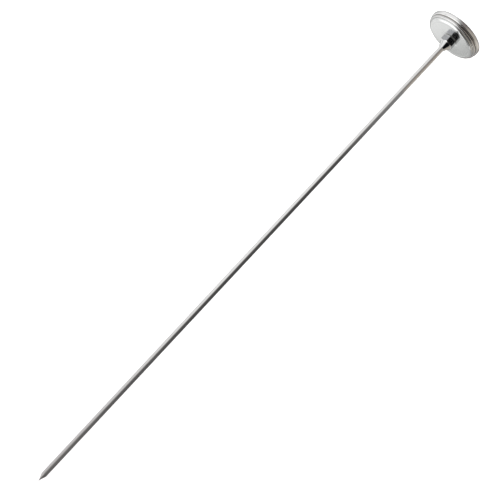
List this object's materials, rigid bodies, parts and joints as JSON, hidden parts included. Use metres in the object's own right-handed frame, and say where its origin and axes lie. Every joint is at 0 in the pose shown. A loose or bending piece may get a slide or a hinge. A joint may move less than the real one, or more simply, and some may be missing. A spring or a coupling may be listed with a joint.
{
  "type": "dial thermometer",
  "caption": "Bimetal dial thermometer with a small round Celsius dial, a hex hub and a very long thin pointed stem.",
  "frame": {"origin": "on the stem's axis, where the stem leaves the small end of the hub's tapered nose", "axes": "+Y along the stem towards its point, -Y out of the dial's face, +Z towards the middle of the scale (60 degrees Celsius)"},
  "size_m": [0.045, 0.5089, 0.045],
  "materials": {
    "polished_steel": "polished stainless steel",
    "satin_steel": "satin stainless steel",
    "lens": "clear",
    "gasket": "matt grey",
    "spacer": "matt",
    "dial": "satin white paint",
    "scale_ink": "matt black printing ink",
    "pointer_red": "satin red paint",
    "silver": "bright plated brass",
    "spindle_steel": "dark drawn wire",
    "brass": "turned",
    "washer": "matt grey plastic",
    "spring_steel": "oiled spring steel",
    "bush_plastic": "white low-friction plastic",
    "bimetal": "rolled bimetal strip"
  },
  "bodies": {
    "stem": {"hex_hub": "polished_steel", "seat_washer": "washer", "disc_spring": "spring_steel", "retaining_ring": "spring_steel", "upper_bearing": "brass", "stem_tube": "polished_steel", "guide_bush_1": "bush_plastic", "guide_bush_2": "bush_plastic", "guide_bush_3": "bush_plastic", "bimetal_coil": "bimetal", "coil_anchor": "brass", "stem_tip": "polished_steel"},
    "case": {"case_pan": "satin_steel", "bezel": "polished_steel", "lens": "lens", "lens_gasket": "gasket", "spacer_ring": "spacer", "dial_plate": "dial"},
    "movement": {"pointer": "pointer_red", "pointer_boss": "pointer_red", "pointer_bushing": "silver", "spindle": "spindle_steel", "thrust_collar": "brass", "coil_clamp": "brass"}
  },
  "joints": [
    {"name": "calibration", "type": "hinge", "parent": "stem", "child": "case", "pos_m": [0, -0.0109, 0], "axis": [0, 1, 0], "continuous": true},
    {"name": "reading", "type": "hinge", "parent": "stem", "child": "movement", "pos_m": [0, -0.0152, 0], "axis": [0, 1, 0], "range_deg": [-42.62, 287.38], "stiffness_Nm_per_rad": 0.0002, "deforming": ["bimetal_coil"]}
  ]
}
